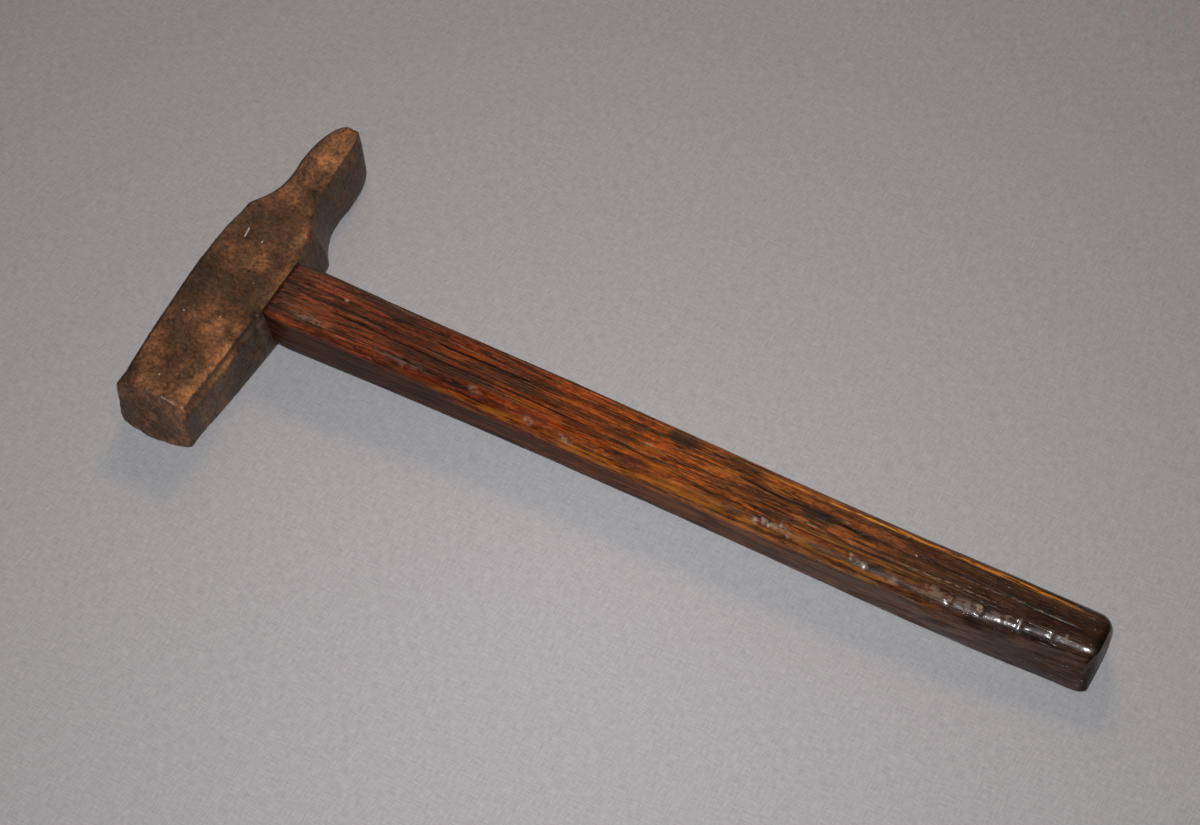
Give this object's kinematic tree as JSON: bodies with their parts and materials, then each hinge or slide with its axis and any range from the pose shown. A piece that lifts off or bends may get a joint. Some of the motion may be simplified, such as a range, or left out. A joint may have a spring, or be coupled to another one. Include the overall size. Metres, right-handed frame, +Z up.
{
  "type": "tack hammer",
  "caption": "Light cross-peen tack hammer: forged steel head with a flat striking face and a scalloped neck, wedged on a rectangular hardwood handle.",
  "frame": {"origin": "middle of the eye, on the cheek that the hammer lies on", "axes": "+X along the handle from the head to the butt, +Y along the head from the striking face to the peen, +Z up, through the head from its lower cheek to its upper cheek"},
  "size_m": [0.3024, 0.1234, 0.0184],
  "materials": {
    "head_steel": "forged, with a mottled brown rust patina, dull",
    "handle_wood": "ring-porous hardwood, dark red-brown, handled to a gloss",
    "wedge_wood": "hardwood end grain, aged",
    "wedge_steel": "wrought, rusted dark"
  },
  "bodies": {
    "root": {"hammer_head": "head_steel", "handle": "handle_wood", "wooden_wedge": "wedge_wood", "steel_wedge": "wedge_steel"}
  },
  "joints": []
}
